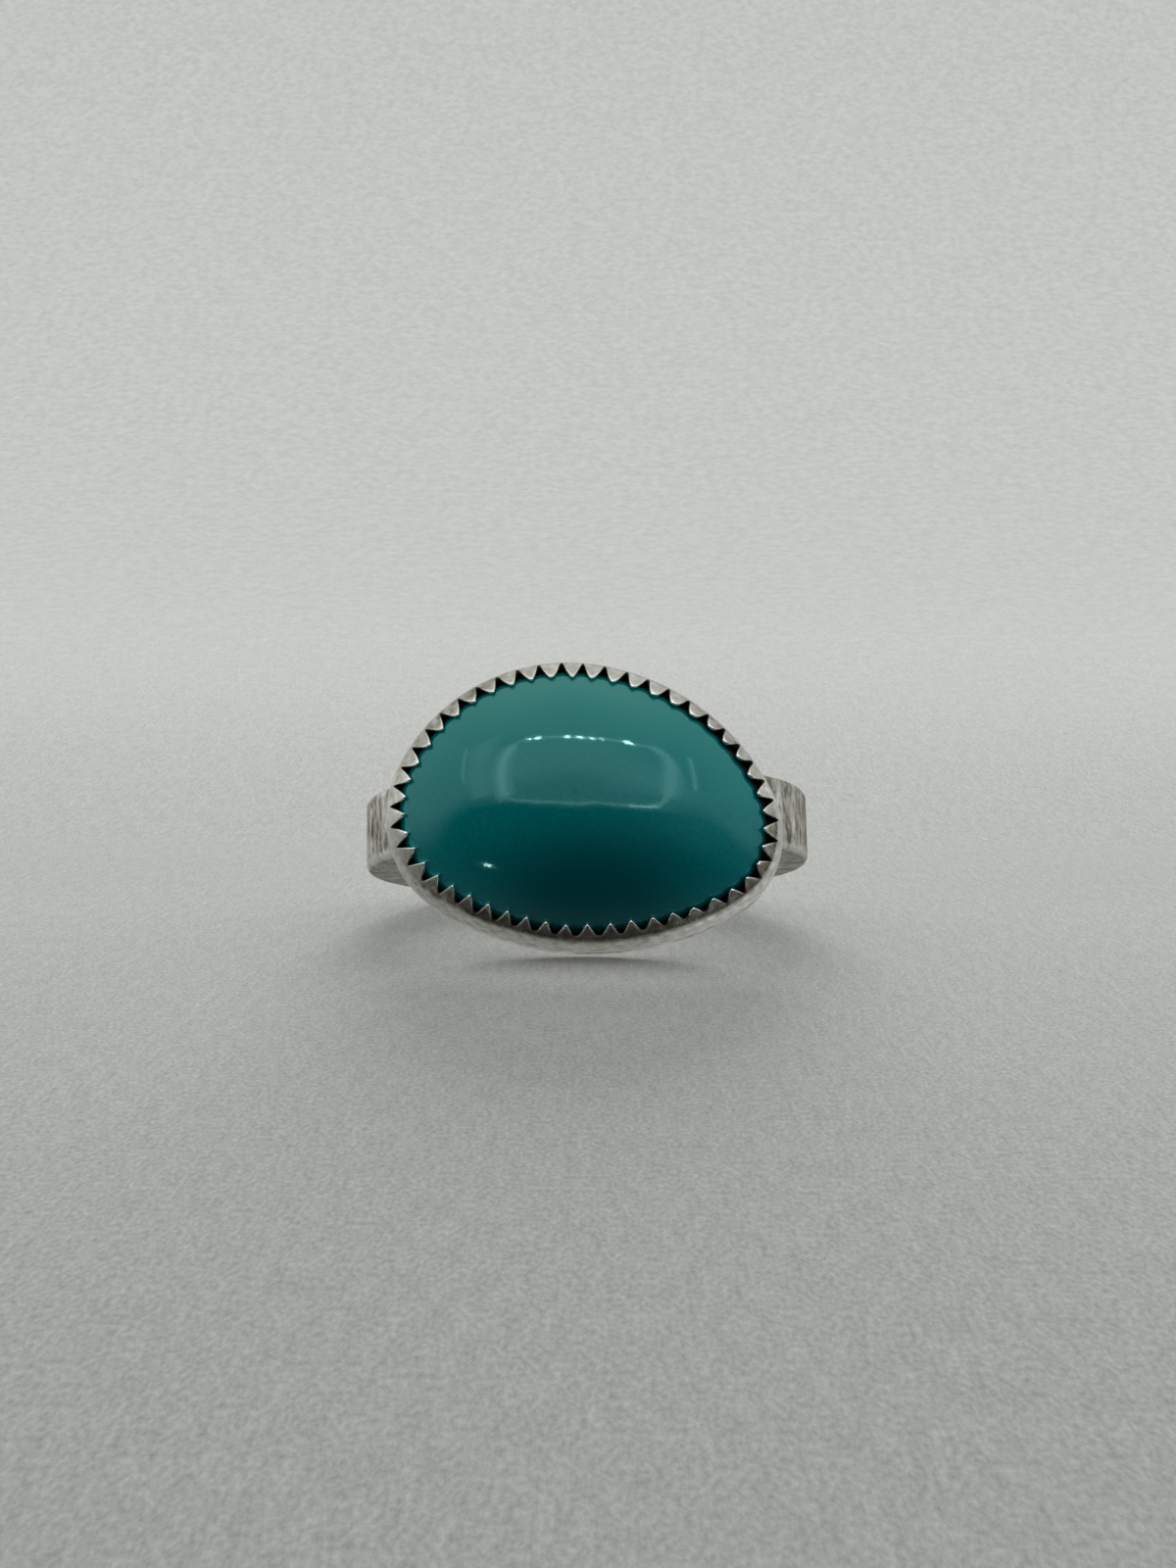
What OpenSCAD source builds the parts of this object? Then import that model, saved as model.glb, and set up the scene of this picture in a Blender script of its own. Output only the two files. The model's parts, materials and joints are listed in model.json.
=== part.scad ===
// A silver ring with one egg-shaped turquoise cabochon in a serrated bezel.
// It lies on its side: +Z is up, the stone faces -Y, and the origin is on the
// surface below the middle of the ring. Sizes are millimetres.

/* [Band] */
// Diameter of the finger hole, a size 8
hole_d = 18.1; // [15:0.1:20]
// Thickness of the band
band_t = 1.95; // [1.6:0.05:2.1]
// Width of the band along the finger
band_w = 3.5; // [2.5:0.1:5]
// Radius of the band's outer edges
edge_r = 0.35; // [0.1:0.05:0.6]
// Radius that eases the edges of the finger hole
hole_edge_r = 0.15; // [0.05:0.05:0.3]

/* [Bezel and back plate] */
// Depth of the flat on the band, where the back plate is soldered on
flat_depth = 0.6; // [0.4:0.1:0.7]
// Thickness of the back plate
plate_t = 0.8; // [0.65:0.05:1.2]
// Thickness of the bezel's wall
wall_t = 0.28; // [0.2:0.02:0.36]
// Number of teeth round the bezel
teeth = 48; // [40:1:56]
// Width of the blunt end of a tooth
tooth_end = 0.14; // [0.05:0.01:0.25]

/* [Stone] */
// Height of the stone from its flat back to the top of its dome
stone_h = 4.8; // [4:0.1:6]
// Play between the stone and the metal round it
play = 0.08; // [0.05:0.01:0.12]
// How round the dome is: 2 is an even curve, more is flatter on top
dome_power = 2.4; // [2:0.1:3]

/* [Hidden] */
$fn = 128;

hole_r = hole_d / 2;
band_r = hole_r + band_t;
plate_u = band_r - flat_depth;
seat_u = plate_u + plate_t;

// The foot of the bezel is an egg of five arcs, each tangent to the next. The first one
// rounds the narrow end, and the order is counter-clockwise as seen on the stone.
// The last two radii and the last sweep follow, so that the outline closes.
first_arc_centre = [4.8, -1.7];
first_arc_start = -60.6;
given_radii = [4.12, 10.68, 8.62];
given_sweeps = [84.3, 56.7, 73.7, 82.5];
sweeps = [each given_sweeps, 360 - sum(given_sweeps)];
starts = [for (i = [0 : 5]) first_arc_start + sum(sweeps, i)];
chords = [for (i = [0 : 4]) ray(starts[i + 1]) - ray(starts[i])];
open_end = -(given_radii[0] * chords[0] + given_radii[1] * chords[1] + given_radii[2] * chords[2]);
fourth_radius = cross(open_end, chords[4]) / cross(chords[3], chords[4]);
fifth_radius = cross(chords[3], open_end) / cross(chords[3], chords[4]);
radii = [each given_radii, fourth_radius, fifth_radius];
centres = [for (i = [0 : 4]) arc_centre(i)];
arc_lengths = [for (i = [0 : 4]) radii[i] * sweeps[i] * PI / 180];
pitch = sum(arc_lengths) / teeth;
// Spacing of the points that draw the egg
facet = 0.55;

// Section of the bezel's wall, from inside the back plate up to the ends of the teeth
INSET = 0;  // how far the outer face lies inside the foot's outline
HEIGHT = 1; // height over the underside of the back plate
LEAN = 2;   // lean of the wall from upright, in degrees
foot_row     = [0.04, plate_t - 0.3, 0];
waist_row    = [0.12, 2.00, 6];
shoulder_row = [0.24, 2.45, 26];
notch_row    = [0.47, 2.80, 42];
end_row      = [1.02, 3.40, 48];

// Rings of the stone below its dome: inset from the bezel's foot, and height over the plate's underside
stone_inset = wall_t + play + waist_row[INSET];
dome_foot = [stone_inset + 0.68, plate_t + 2.15];
stone_rows = [
    [stone_inset + 0.20, plate_t + play],
    [stone_inset, plate_t + play + 0.15],
    [stone_inset, plate_t + 0.95],
    [stone_inset + 0.06, plate_t + 1.25],
    [stone_inset + 0.27, plate_t + 1.72],
    dome_foot,
];
dome_h = plate_t + play + stone_h - dome_foot[1];
dome_centre = [-0.5, -0.35];
dome_rings = 14;

// How the ring lies: on the back edge of the band and the low edge of the back plate. The tilt is
// that of the line under both. The egg isn't symmetric, so it rolls a little until it balances.
rest_roll = 1.8;
low_side = ray(270 - rest_roll);
foot_reach = radii[4] + centres[4] * low_side;
back_run = plate_u + band_r - edge_r;
back_drop = foot_reach - band_w / 2 + edge_r;
rest_tilt = atan(back_drop / back_run) - asin(edge_r / norm([back_run, back_drop]));
foot_low = foot_reach * cos(rest_tilt) - plate_u * sin(rest_tilt);
band_low = (band_r - edge_r) * norm([sin(rest_tilt), sin(rest_roll) * cos(rest_tilt)])
    + (band_w / 2 - edge_r) * cos(rest_roll) * cos(rest_tilt) + edge_r;
rest_height = max(foot_low, band_low);
dome_reach = (seat_u + play + stone_h) * cos(rest_tilt);
back_reach = band_r * cos(rest_tilt) + band_w / 2 * sin(rest_tilt);
rest_shift = (dome_reach - back_reach) / 2;

function ray(angle) = [cos(angle), sin(angle)];
function sum(list, count = undef) =
    let (last = is_undef(count) ? len(list) : count)
    last == 0 ? 0 : list[last - 1] + sum(list, last - 1);
function arc_centre(i) =
    i == 0 ? first_arc_centre : arc_centre(i - 1) + (radii[i - 1] - radii[i]) * ray(starts[i]);

// Arc that holds a distance along the foot's outline, and the direction of the outline's normal there
function arc_at(distance, i = 0) =
    i == 4 || distance < arc_lengths[i] ? [i, starts[i] + distance / radii[i] * 180 / PI]
    : arc_at(distance - arc_lengths[i], i + 1);

// The egg outline as points, set in by a distance and drawn towards the dome's centre by a scale
function egg(inset, scale = 1) = [
    for (i = [0 : 4])
        let (steps = ceil(arc_lengths[i] / facet))
        for (k = [0 : steps - 1])
            let (point = centres[i] + (radii[i] - inset) * ray(starts[i] + sweeps[i] * k / steps))
            dome_centre + scale * (point - dome_centre)
];

// The wall's section at a distance along the outline, as a loop of points. The reach is 0 at
// the bottom of a notch and 1 at the end of a tooth.
function wall_section(distance, reach) =
    let (
        place = arc_at(distance),
        out = ray(place[1]),
        rows = [foot_row, waist_row, shoulder_row, notch_row + reach * (end_row - notch_row)],
        outer = [for (row = rows) [row[INSET], row[HEIGHT]]],
        inner = [
            for (k = [len(rows) - 1 : -1 : 0])
                [
                    rows[k][INSET] + wall_t * cos(rows[k][LEAN]),
                    rows[k][HEIGHT] - wall_t * sin(rows[k][LEAN])
                ]
        ]
    )
    [
        for (point = concat(outer, inner))
            let (foot = centres[place[0]] + (radii[place[0]] - point[0]) * out)
            [foot.x, foot.y, plate_u + point[1]]
    ];

module band() {
    rotate([90, 0, 0])
        rotate_extrude()
            band_section();
}

module band_section() {
    half = band_w / 2;
    translate([hole_r + hole_edge_r, -half])
        square([band_t - hole_edge_r - edge_r, band_w]);
    translate([hole_r, hole_edge_r - half])
        square([band_t / 2, band_w - 2 * hole_edge_r]);
    translate([band_r - band_t / 2, edge_r - half])
        square([band_t / 2, band_w - 2 * edge_r]);
    for (side = [-1, 1]) {
        translate([hole_r + hole_edge_r, side * (half - hole_edge_r)])
            circle(hole_edge_r);
        translate([band_r - edge_r, side * (half - edge_r)])
            circle(edge_r);
    }
}

module back_plate() {
    translate([0, 0, plate_u])
        linear_extrude(plate_t)
            polygon(egg(0));
}

module bezel() {
    blunt = tooth_end / pitch / 2;
    sections = [
        for (k = [0 : teeth - 1])
            each [
                wall_section((k - blunt) * pitch, 1),
                wall_section((k + blunt) * pitch, 1),
                wall_section((k + 0.5) * pitch, 0)
            ]
    ];
    loop_size = len(sections[0]);
    polyhedron(
        points = [for (section = sections) each section],
        faces = [
            for (s = [0 : len(sections) - 1]) for (k = [0 : loop_size - 1])
                let (
                    next = (s + 1) % len(sections) * loop_size,
                    here = s * loop_size,
                    k2 = (k + 1) % loop_size
                )
                each [[here + k, here + k2, next + k2], [here + k, next + k2, next + k]]
        ]
    );
}

module cabochon() {
    rings = [
        for (row = stone_rows) [for (point = egg(row[0])) [point.x, point.y, plate_u + row[1]]],
        for (k = [1 : dome_rings - 1])
            let (
                scale = cos(90 * k / dome_rings),
                height = plate_u + dome_foot[1] + dome_h * (1 - pow(scale, dome_power))
            )
            [for (point = egg(dome_foot[0], scale)) [point.x, point.y, height]]
    ];
    top = plate_u + dome_foot[1] + dome_h;
    count = len(rings[0]);
    last = (len(rings) - 1) * count;
    polyhedron(
        points = [for (ring = rings) each ring, [dome_centre.x, dome_centre.y, top]],
        faces = [
            [for (k = [0 : count - 1]) k],
            for (r = [0 : len(rings) - 2]) for (k = [0 : count - 1])
                let (a = r * count + k, b = r * count + (k + 1) % count)
                each [[a, b + count, b], [a, a + count, b + count]],
            for (k = [0 : count - 1]) [last + k, len(rings) * count, last + (k + 1) % count]
        ]
    );
}

// Lays the ring on its side
module at_rest() {
    translate([0, rest_shift, rest_height])
        rotate([90 - rest_tilt, 0, 0])
            rotate([0, 0, rest_roll])
                children();
}

// The soldered metal: band, back plate and bezel are one piece
module band_and_bezel() {
    color("silver")
        at_rest()
            union() {
                band();
                back_plate();
                bezel();
            }
}

module stone() {
    color("teal")
        at_rest()
            cabochon();
}

band_and_bezel();
stone();
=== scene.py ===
"""Looks of a silver ring with an egg-shaped turquoise cabochon in a serrated bezel.

Every piece is drawn in the ring's own axes, in millimetres: x runs across the stone, v along
the finger and u out through the stone. The finger hole's mount says where those axes lie.
"""

import json
import math

import bmesh
import bpy
import numpy as np
from mathutils import Matrix, Vector


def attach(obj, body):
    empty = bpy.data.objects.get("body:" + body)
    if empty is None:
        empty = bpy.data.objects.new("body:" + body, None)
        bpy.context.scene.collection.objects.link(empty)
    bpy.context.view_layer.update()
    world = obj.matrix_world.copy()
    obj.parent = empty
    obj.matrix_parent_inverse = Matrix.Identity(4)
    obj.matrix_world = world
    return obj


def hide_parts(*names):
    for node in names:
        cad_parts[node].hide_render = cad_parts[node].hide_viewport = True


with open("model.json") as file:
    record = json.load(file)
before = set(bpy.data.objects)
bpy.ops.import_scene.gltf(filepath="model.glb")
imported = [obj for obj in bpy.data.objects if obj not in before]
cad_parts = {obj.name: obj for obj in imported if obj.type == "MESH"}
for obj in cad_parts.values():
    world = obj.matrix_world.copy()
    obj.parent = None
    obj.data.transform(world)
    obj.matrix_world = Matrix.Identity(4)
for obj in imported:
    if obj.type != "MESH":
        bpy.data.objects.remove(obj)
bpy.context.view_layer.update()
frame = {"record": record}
# Source of all random draws, so that each run gives the same ring
rng = np.random.default_rng(48)
MM = 0.001

# Where the ring's own axes lie in the frame
hole = next(m for m in frame["record"]["mounts"] if m["name"] == "finger_hole")
CENTRE = Vector(hole["pos_m"])
FINGER_AXIS = Vector(hole["axis"]).normalized()
STONE_AXIS = Vector((0, -FINGER_AXIS.z, FINGER_AXIS.y)).normalized()
ACROSS_AXIS = FINGER_AXIS.cross(STONE_AXIS)
RING_AXES = np.array([ACROSS_AXIS, FINGER_AXIS, STONE_AXIS])

# Band: its radii, its thickness, half its width, and the radii of its outer and inner edges
HOLE_R = hole["dims"]["r_mm"]
BAND_T = 1.95
BAND_R = HOLE_R + BAND_T
BAND_HALF = 1.75
EDGE_R = 0.35
HOLE_EDGE_R = 0.15
BAND_STATIONS = 1200

# Back plate: the flat on the band that it is soldered on, the height of its underside, its
# thickness, and the radius of its edges. The band reaches a little into it.
FLAT_DEPTH = 0.6
PLATE_U = BAND_R - FLAT_DEPTH
PLATE_T = 0.8
PLATE_EDGE_R = 0.12
PLATE_STATIONS = 960
BAND_IN_PLATE = 0.15

# The egg outline of the plate and the bezel's foot: arcs that are tangent to each other,
# counter-clockwise from the narrow end. The radii of the last two follow, so that it closes.
FIRST_ARC_CENTRE = np.array([4.8, -1.7])
FIRST_ARC_START = -60.6
GIVEN_RADII = np.array([4.12, 10.68, 8.62])
ARC_SWEEPS = np.radians([84.3, 56.7, 73.7, 82.5, 62.8])

# The wall's outer face from its foot to the notch line: inset from the foot's outline, and height
# over the plate's underside
WALL_CURVE = np.array([
    [0.04, 0.50],
    [0.04, 0.90],
    [0.07, 1.40],
    [0.13, 1.90],
    [0.19, 2.25],
    [0.26, 2.52],
    [0.35, 2.71],
    [0.47, 2.83],
])
WALL_INSETS, WALL_HEIGHTS = WALL_CURVE.T
WALL_LENGTHS = np.concatenate([[0], np.cumsum(np.hypot(*np.diff(WALL_CURVE, axis=0).T))])
NOTCH_LINE = WALL_LENGTHS[-1]
# The wall's rows of points are level up to this length, and follow the teeth above it
LEVEL_LENGTH = 1.8
LEVEL_ROWS = 13
TOOTH_ROWS = 12

# Thickness of the wall, at lengths past its foot
THICKNESS_LENGTHS = [1.6, 2.4, 3.1]
THICKNESSES = [0.28, 0.17, 0.14]
# The lower teeth are thicker than the others: by how much, at which lengths it sets in, and at
# which places round the bezel it sets in and ends
LOW_TEETH_EXTRA = 0.09
LOW_TEETH_LENGTHS = (2.5, 3.0)
LOW_TEETH_START = (27, 30)
LOW_TEETH_END = (46, 43)

# Teeth: their number, their lean from upright, and how fast they curl over
TEETH = 48
TOOTH_LEAN = math.radians(42.5)
TOOTH_CURL = 0.07
TOOTH_STATIONS = 22
# The rounded edge of the teeth: its height, and its points as shares of the wall's thickness and
# of that height
CAP_H = 0.06
CAP_CURVE = np.array([
    [0.08, 0.65],
    [0.30, 1.00],
    [0.70, 1.00],
    [0.92, 0.65],
])
# The tooth with a dented tip, and the dent's depth, place and width as shares of the tooth
DENTED_TOOTH = 2
DENT_DEPTH, DENT_PLACE, DENT_WIDTH = 0.14, 0.53, 0.07

# Teeth round the bezel: place, counted in teeth; drift of the teeth there, in teeth; reach of
# the tips past the notch line, and depth of the notches below it, in millimetres; how far the
# flanks swell out; how round the notches are; and the gap between the stone and the tips
PLACE, DRIFT, REACH, NOTCH, SWELL, ROUND, GAP = range(7)
TOOTH_TABLE = np.array([
    [0, 0.00, 0.66, 0.00, 0.04, 0.10, 0.08],
    [2, 0.04, 0.66, 0.08, 0.06, 0.10, 0.10],
    [4, 0.08, 0.80, 0.14, 0.08, 0.10, 0.12],
    [6, 0.08, 0.64, 0.26, 0.10, 0.12, 0.10],
    [8, 0.08, 0.44, 0.34, 0.12, 0.18, 0.08],
    [10, 0.00, 0.42, 0.28, 0.16, 0.25, 0.06],
    [12, 0.10, 0.62, 0.26, 0.16, 0.25, 0.04],
    [14, 0.16, 0.78, 0.30, 0.14, 0.14, 0.02],
    [17, 0.22, 0.88, 0.34, 0.12, 0.08, 0.00],
    [20, 0.26, 0.80, 0.34, 0.12, 0.08, 0.00],
    [22, 0.28, 0.74, 0.28, 0.12, 0.08, 0.00],
    [26, 0.40, 0.85, 0.14, 0.12, 0.08, 0.00],
    [30, 0.34, 0.78, 0.18, 0.08, 0.08, 0.02],
    [31, 0.36, 0.92, 0.04, 0.04, 0.08, 0.03],
    [33, 0.42, 0.96, -0.10, -0.04, 0.14, 0.02],
    [37, 0.15, 0.84, -0.08, -0.10, 0.20, 0.00],
    [40, -0.05, 0.74, -0.08, -0.12, 0.22, 0.00],
    [43, 0.03, 0.88, -0.18, -0.10, 0.24, 0.01],
    [46, 0.00, 0.66, -0.20, -0.06, 0.22, 0.04],
    [48, 0.00, 0.66, 0.00, 0.04, 0.10, 0.08],
])

# Patina goes from 0, polished, to 1, black. This is how much the bezel's face has, by place.
TARNISH_PLACES, TARNISH = np.array([
    [0, 0.08],
    [2, 0.10],
    [4, 0.16],
    [6, 0.08],
    [9, 0.36],
    [12, 0.20],
    [18, 0.22],
    [22, 0.42],
    [26, 0.36],
    [28, 0.17],
    [30, 0.16],
    [33, 0.38],
    [38, 0.34],
    [43, 0.30],
    [46, 0.12],
    [48, 0.08],
]).T

# Crease below the teeth, dark on the lower side with patina and painted shade: its length past the
# foot, and its width. Each tooth is rubbed bright at its tip, reckoned from a length just below the
# notch line.
CREASE_LENGTH = 2.40
CREASE_WIDTH = 0.035
RUBBED_FROM = 2.3

# Stone: its height, the play under it, the heights over the plate's underside of its flat back,
# its girdle and the foot of its dome, and how high the rounding at its back reaches
STONE_H = 4.8
STONE_PLAY = 0.08
STONE_BASE = PLATE_T + STONE_PLAY
GIRDLE_HEIGHT = 1.75
DOME_FOOT_HEIGHT = 3.14
BACK_EDGE_H = 0.15
# Insets of its side and of the foot of its dome from the bezel's foot, the powers of the two
# curves that draw its shoulder and its dome, and the middle of the dome
STONE_INSET = 0.48
DOME_FOOT_INSET = 1.04
SHOULDER_POWER = 1.4
DOME_POWER = 2.4
DOME_CENTRE = np.array([-0.5, -0.35])
STONE_STATIONS = 288
SHOULDER_ROWS = 11
DOME_ROWS = 56
# The polished dome dips from its even curve by up to about twice this
POLISH_WAVE = 0.004
# Grime and painted shade cover the stone's side up to the first inset and are gone at the second.
# Both lie further in where there is a gap between the stone and the tips of the teeth.
GRIME_AND_SHADE_FULL = 0.70
GRIME_AND_SHADE_END = 0.86
GRIME_AND_SHADE_PER_GAP = 1.2

# Grooves on the band that the front view shows: angle round the band from the stone in degrees,
# then depth, width, middle along the finger and half length in millimetres
SEEN_GROOVES = [
    (62.4, 0.10, 0.07, 1.65, 0.28),
    (66.0, 0.03, 0.16, -0.10, 0.90),
    (71.5, 0.06, 0.10, 0.10, 1.30),
    (75.0, 0.05, 0.10, -0.60, 0.80),
    (79.0, 0.07, 0.14, -0.50, 0.90),
    (83.5, 0.04, 0.10, 0.50, 0.90),
    (-64.5, 0.06, 0.14, -0.10, 1.30),
    (-68.0, 0.07, 0.10, 0.20, 1.20),
    (-72.0, 0.07, 0.12, 0.30, 1.30),
    (-76.5, 0.04, 0.10, -0.50, 0.80),
    (-82.0, 0.03, 0.14, 0.60, 0.80),
]
# The stretch that they fill at each end of the front view, in degrees from the stone
SEEN_FROM, SEEN_TO = 58, 86
# Free grooves, spread evenly round the band and kept outside that stretch: how many, how far each
# strays from its place in degrees, and the ranges of their depth, width, middle and half length
FREE_GROOVES = 82
FREE_STRAY = 1.4
FREE_RANGES = [(0.02, 0.07), (0.07, 0.17), (-0.8, 0.8), (0.6, 1.6)]
# How far a groove waves aside, and how far it slants in each millimetre
GROOVE_WAVE = 0.08
GROOVE_SLANT = 0.07
# The swellings between the grooves are cut off at this height
SWELL_TOP = 0.02

# Solder seam: how far its fillet reaches over the plate and down the band, how far it reaches and
# drops at the two ends, where the band curves away from the plate, how far its edges are sunk into
# the metal, and the power that squares its outline
SEAM_LEG = 0.3
SEAM_END_REACH = 0.75
SEAM_END_DROP = 0.29
SEAM_SUNK = 0.02
SEAM_POWER = 6.0
SEAM_STATIONS = 240


def ray(angle):
    return np.stack([np.cos(angle), np.sin(angle)], axis=-1)


def egg_arcs():
    """Start, radius, centre and length of each arc of the egg outline."""
    starts = math.radians(FIRST_ARC_START) + np.concatenate([[0], np.cumsum(ARC_SWEEPS)])
    chords = ray(starts[1:]) - ray(starts[:-1])
    closing = np.linalg.solve(chords[3:].T, -GIVEN_RADII @ chords[:3])
    radii = np.concatenate([GIVEN_RADII, closing])
    centres = [FIRST_ARC_CENTRE]
    for i in range(1, len(radii)):
        centres.append(centres[-1] + (radii[i - 1] - radii[i]) * ray(starts[i]))
    return starts[:-1], radii, np.array(centres), radii * ARC_SWEEPS


ARC_STARTS, ARC_RADII, ARC_CENTRES, ARC_LENGTHS = egg_arcs()
ARC_ENDS = np.cumsum(ARC_LENGTHS)
OUTLINE = ARC_ENDS[-1]
PITCH = OUTLINE / TEETH


def egg(distance, inset):
    """Points at distances along the foot's outline, set in by an inset."""
    along = np.mod(distance, OUTLINE)
    arc = np.minimum(np.searchsorted(ARC_ENDS, along, side="right"), len(ARC_RADII) - 1)
    angle = ARC_STARTS[arc] + (along - ARC_ENDS[arc] + ARC_LENGTHS[arc]) / ARC_RADII[arc]
    return ARC_CENTRES[arc] + (ARC_RADII[arc] - inset)[..., None] * ray(angle)


def even_stations(count):
    """Distances along the foot's outline, evenly spaced."""
    return np.arange(count) / count * OUTLINE


def ripple(points, size, waves=24):
    """A smooth random field, mostly from -1 to 1, with bumps of about that size."""
    turns = rng.normal(size=(waves, points.shape[-1]))
    turns *= (2 * math.pi / size * rng.uniform(0.6, 1.5, waves) / np.linalg.norm(turns, axis=1))[:, None]
    phases = rng.uniform(0, 2 * math.pi, waves)
    return np.cos(points @ turns.T + phases).sum(axis=-1) / math.sqrt(waves)


def smoothstep(low, high, value):
    t = np.clip((value - low) / (high - low), 0, 1)
    return t * t * (3 - 2 * t)


def arc_rows(centre, radius, start, end, steps):
    """Points of an arc, its angles in degrees, without its two ends."""
    angles = np.radians(np.linspace(start, end, steps + 2)[1:-1])
    return [(centre[0] + radius * math.cos(a), centre[1] + radius * math.sin(a)) for a in angles]


def loft(name, rows, patina, material, node, closed=True, first_pole=None, last_pole=None):
    """A piece whose skin runs through rows of points, each row a closed loop.

    A closed piece joins its last row to its first. A pole closes an open end with one point.
    """
    count, size = rows.shape[:2]
    index = np.arange(count * size).reshape(count, size)
    turned = np.roll(index, -1, axis=1)
    below, above = (index, np.roll(index, -1, axis=0)) if closed else (index[:-1], index[1:])
    below2, above2 = (turned, np.roll(turned, -1, axis=0)) if closed else (turned[:-1], turned[1:])
    faces = np.stack([below, below2, above2, above], axis=-1).reshape(-1, 4).tolist()
    points, dark = [rows.reshape(-1, 3)], [patina.ravel()]
    pole_patina = 0.5
    for pole, row, row2 in ((first_pole, index[0], turned[0]), (last_pole, turned[-1], index[-1])):
        if pole is not None:
            tip = sum(len(part) for part in points)
            faces += [[tip, b, a] for a, b in zip(row.tolist(), row2.tolist())]
            points.append(np.array([pole]))
            dark.append(np.array([pole_patina]))
    ring_mm = np.concatenate(points)
    mesh = bpy.data.meshes.new(name)
    mesh.from_pydata((np.array(CENTRE) + MM * ring_mm @ RING_AXES).tolist(), [], faces)
    mesh.attributes.new("ring_mm", "FLOAT_VECTOR", "POINT").data.foreach_set("vector", ring_mm.ravel())
    mesh.attributes.new("patina", "FLOAT", "POINT").data.foreach_set("value", np.concatenate(dark))
    mesh.polygons.foreach_set("use_smooth", np.ones(len(mesh.polygons), bool))
    outward = bmesh.new()
    outward.from_mesh(mesh)
    bmesh.ops.recalc_face_normals(outward, faces=outward.faces)
    outward.to_mesh(mesh)
    outward.free()
    mesh.materials.append(material)
    piece = bpy.data.objects.new(name, mesh)
    bpy.context.scene.collection.objects.link(piece)
    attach(piece, "root")
    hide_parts(node)
    return piece


def band_section():
    """The band's section as a loop of (distance along the finger, radius)."""
    face_points, side_points, hole_points = 29, 6, 7
    edge_steps, hole_edge_steps = 7, 4
    flat, side = BAND_HALF - EDGE_R, BAND_R - EDGE_R
    hole_flat, hole_side = BAND_HALF - HOLE_EDGE_R, HOLE_R + HOLE_EDGE_R
    return np.array(
        [(v, BAND_R) for v in np.linspace(-flat, flat, face_points)]
        + arc_rows((flat, side), EDGE_R, 90, 0, edge_steps)
        + [(BAND_HALF, r) for r in np.linspace(side, hole_side, side_points)]
        + arc_rows((hole_flat, hole_side), HOLE_EDGE_R, 0, -90, hole_edge_steps)
        + [(v, HOLE_R) for v in np.linspace(hole_flat, -hole_flat, hole_points)]
        + arc_rows((-hole_flat, hole_side), HOLE_EDGE_R, -90, -180, hole_edge_steps)
        + [(-BAND_HALF, r) for r in np.linspace(hole_side, side, side_points)]
        + arc_rows((-flat, side), EDGE_R, 180, 90, edge_steps)
    )


def groove_list():
    """The grooves that show, and free ones that carry the same pattern round the rest of the band."""
    grooves = list(SEEN_GROOVES)
    stray = rng.uniform(-FREE_STRAY, FREE_STRAY, FREE_GROOVES)
    for angle in np.linspace(0, 360, FREE_GROOVES, endpoint=False) + stray:
        signed = (angle + 180) % 360 - 180
        if not SEEN_FROM < abs(signed) < SEEN_TO:
            grooves.append((signed, *(rng.uniform(low, high) for low, high in FREE_RANGES)))
    return grooves


def groove_cut(angle, v):
    """How deep the grooves cut into the outer face at each point of the band."""
    cut = np.zeros_like(v)
    for degrees, depth, width, middle, half in groove_list():
        aside = GROOVE_WAVE * np.sin(v * rng.uniform(1.5, 4.0) + rng.uniform(0, 6))
        aside = aside + rng.uniform(-GROOVE_SLANT, GROOVE_SLANT) * v
        fade = 0.62 + 0.38 * np.sin(v * rng.uniform(2.0, 5.0) + rng.uniform(0, 6))
        off = (angle - math.radians(degrees) + math.pi) % (2 * math.pi) - math.pi
        across = (BAND_R * off - aside) / width
        reach = smoothstep(half + 0.25, half - 0.15, np.abs(v - middle))
        cut = np.maximum(cut, depth * fade * reach * np.exp(-across ** 2 * 2))
    return cut


def hammered_band(silver):
    section = band_section()
    angles = np.linspace(-math.pi, math.pi, BAND_STATIONS, endpoint=False)
    v, angle = np.meshgrid(section[:, 0], angles, indexing="ij")
    radius = np.repeat(section[:, 1:], len(angles), axis=1)
    surface = np.stack([BAND_R * np.cos(angle), BAND_R * np.sin(angle), v], axis=-1)
    # Share of the hammering: full on the outer face, none on the sides and in the hole
    share = smoothstep(BAND_R - 0.25, BAND_R - 0.02, radius)
    cut = groove_cut(angle, v)
    # Swellings from the hammer, in millimetres, and unevenness of the patina. All but the finest of
    # the swellings are drawn out along the finger.
    swell = 0.022 * ripple(surface * [1, 1, 0.22], 1.1) + 0.007 * ripple(surface, 0.35)
    grain = ripple(surface * [1, 1, 0.35], 0.3)
    blotch = ripple(surface * [1, 1, 0.6], 0.9)
    radius = radius - share * (cut + SWELL_TOP - np.minimum(swell, SWELL_TOP))
    # The flat under the back plate
    towards_stone = np.cos(angle)
    flat = (PLATE_U + BAND_IN_PLATE) / np.maximum(towards_stone, 0.1)
    radius = np.where(towards_stone > 0, np.minimum(radius, flat), radius)
    rows = np.stack([radius * np.sin(angle), v, radius * towards_stone], axis=-1)
    # Patina gathers in the grooves and is rubbed off one edge; the face is darker where it turns away from
    # the stone
    rubbed_edge = smoothstep(-1.2, -1.42, v)
    turned_away = smoothstep(1.22, 1.40, np.abs(angle)) * (0.15 + 0.06 * np.sin(angle))
    on_face = 0.33 + 9 * cut + 0.10 * grain + 0.09 * blotch - 5 * swell + turned_away
    patina = share * (1 - 0.5 * rubbed_edge) * np.clip(on_face, 0, 1)
    patina = patina + (1 - share) * np.clip(0.54 + 0.07 * ripple(surface, 1.4), 0, 1)
    return loft("hammered_band", rows, patina, silver, "band_and_bezel")


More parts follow.
